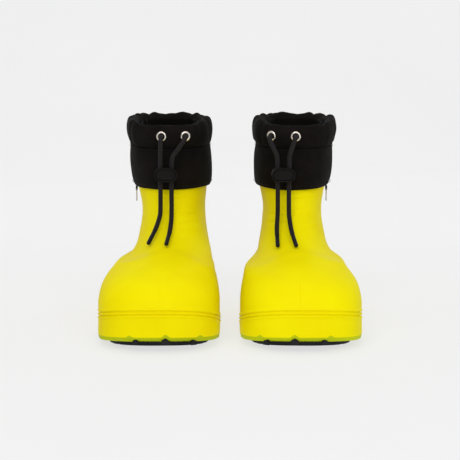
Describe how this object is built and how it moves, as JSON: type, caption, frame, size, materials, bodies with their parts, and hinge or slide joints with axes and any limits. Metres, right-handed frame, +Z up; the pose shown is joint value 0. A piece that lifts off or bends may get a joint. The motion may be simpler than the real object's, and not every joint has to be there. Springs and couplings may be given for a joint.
{
  "type": "deck boots",
  "caption": "Pair of chunky pull-on deck boots: domed moulded foam shells on rubber soles, with padded collars that draw in at the top with a cord and sprung lock.",
  "frame": {"origin": "on the floor, at the middle of the pair's box", "axes": "+Z up, -Y to the toes, -X to the wearer's right boot"},
  "size_m": [0.2948, 0.31, 0.2375],
  "materials": {
    "yellow_eva": "satin moulded foam",
    "black_rubber": "matt",
    "footbed_foam": "matt",
    "liner_felt": "matt",
    "black_nylon": "matt woven",
    "lining_fabric": "matt",
    "black_cord": "braided",
    "tip_plastic": "glossy",
    "pale_metal": "satin",
    "lock_plastic": "moulded",
    "spring_steel": "bright",
    "zip_tape": "matt",
    "zip_teeth": "satin",
    "zip_metal": "satin",
    "carrier_black": "satin"
  },
  "bodies": {
    "right_boot": {"right_eva_shell": "yellow_eva", "right_outsole_forefoot": "black_rubber", "right_outsole_heel": "black_rubber", "right_liner": "liner_felt", "right_footbed": "footbed_foam", "right_collar_body": "black_nylon", "right_collar_lining": "lining_fabric", "right_collar_tunnel": "black_nylon", "right_drawcord_tunnel": "black_cord", "right_eyelets": "pale_metal", "right_eyelet_washers": "pale_metal", "right_drawcord_outer": "black_cord", "right_drawcord_inner": "black_cord", "right_cord_tip_outer": "tip_plastic", "right_cord_tip_inner": "tip_plastic", "right_zip_tape_lower": "zip_tape", "right_zip_tape_upper": "zip_tape", "right_zip_teeth": "zip_teeth"},
    "right_cord_lock": {"right_lock_body": "lock_plastic", "right_lock_spring": "spring_steel"},
    "right_lock_plunger": {"right_lock_button": "lock_plastic"},
    "right_zip_runner": {"right_zip_slider": "zip_metal", "right_zip_carrier": "carrier_black", "right_zip_pin": "zip_metal"},
    "right_zip_tab": {"right_zip_pull": "zip_metal"},
    "left_boot": {"left_eva_shell": "yellow_eva", "left_outsole_forefoot": "black_rubber", "left_outsole_heel": "black_rubber", "left_liner": "liner_felt", "left_footbed": "footbed_foam", "left_collar_body": "black_nylon", "left_collar_lining": "lining_fabric", "left_collar_tunnel": "black_nylon", "left_drawcord_tunnel": "black_cord", "left_eyelets": "pale_metal", "left_eyelet_washers": "pale_metal", "left_drawcord_outer": "black_cord", "left_drawcord_inner": "black_cord", "left_cord_tip_outer": "tip_plastic", "left_cord_tip_inner": "tip_plastic", "left_zip_tape_lower": "zip_tape", "left_zip_tape_upper": "zip_tape", "left_zip_teeth": "zip_teeth"},
    "left_cord_lock": {"left_lock_body": "lock_plastic", "left_lock_spring": "spring_steel"},
    "left_lock_plunger": {"left_lock_button": "lock_plastic"},
    "left_zip_runner": {"left_zip_slider": "zip_metal", "left_zip_carrier": "carrier_black", "left_zip_pin": "zip_metal"},
    "left_zip_tab": {"left_zip_pull": "zip_metal"}
  },
  "joints": [
    {"name": "left_boot_apart", "type": "slide", "parent": "right_boot", "child": "left_boot", "axis": [1, 0, 0], "range_m": [0, 0.15]},
    {"name": "right_lock_slide", "type": "slide", "parent": "right_boot", "child": "right_cord_lock", "axis": [0, 0, -1], "range_m": [-0.001, 0.028]},
    {"name": "right_lock_press", "type": "slide", "parent": "right_cord_lock", "child": "right_lock_plunger", "axis": [0, 1, 0], "range_m": [0, 0.0025], "stiffness_N_per_m": 600, "springref_m": -0.002},
    {"name": "right_zip_run", "type": "hinge", "parent": "right_boot", "child": "right_zip_runner", "pos_m": [-0.0201, 0.0695, 0.166], "axis": [0, 0, 1], "range_deg": [-18, 18]},
    {"name": "right_pull_swing", "type": "hinge", "parent": "right_zip_runner", "child": "right_zip_tab", "pos_m": [-0.1114, 0.0695, 0.1515], "axis": [0, 1, 0], "range_deg": [-3, 95]},
    {"name": "left_lock_slide", "type": "slide", "parent": "left_boot", "child": "left_cord_lock", "axis": [0, 0, -1], "range_m": [-0.001, 0.028]},
    {"name": "left_lock_press", "type": "slide", "parent": "left_cord_lock", "child": "left_lock_plunger", "axis": [0, 1, 0], "range_m": [0, 0.0025], "stiffness_N_per_m": 600, "springref_m": -0.002},
    {"name": "left_zip_run", "type": "hinge", "parent": "left_boot", "child": "left_zip_runner", "pos_m": [0.0236, 0.0695, 0.166], "axis": [0, 0, 1], "range_deg": [-18, 18]},
    {"name": "left_pull_swing", "type": "hinge", "parent": "left_zip_runner", "child": "left_zip_tab", "pos_m": [0.1149, 0.0695, 0.1515], "axis": [0, -1, 0], "range_deg": [-3, 95]}
  ]
}
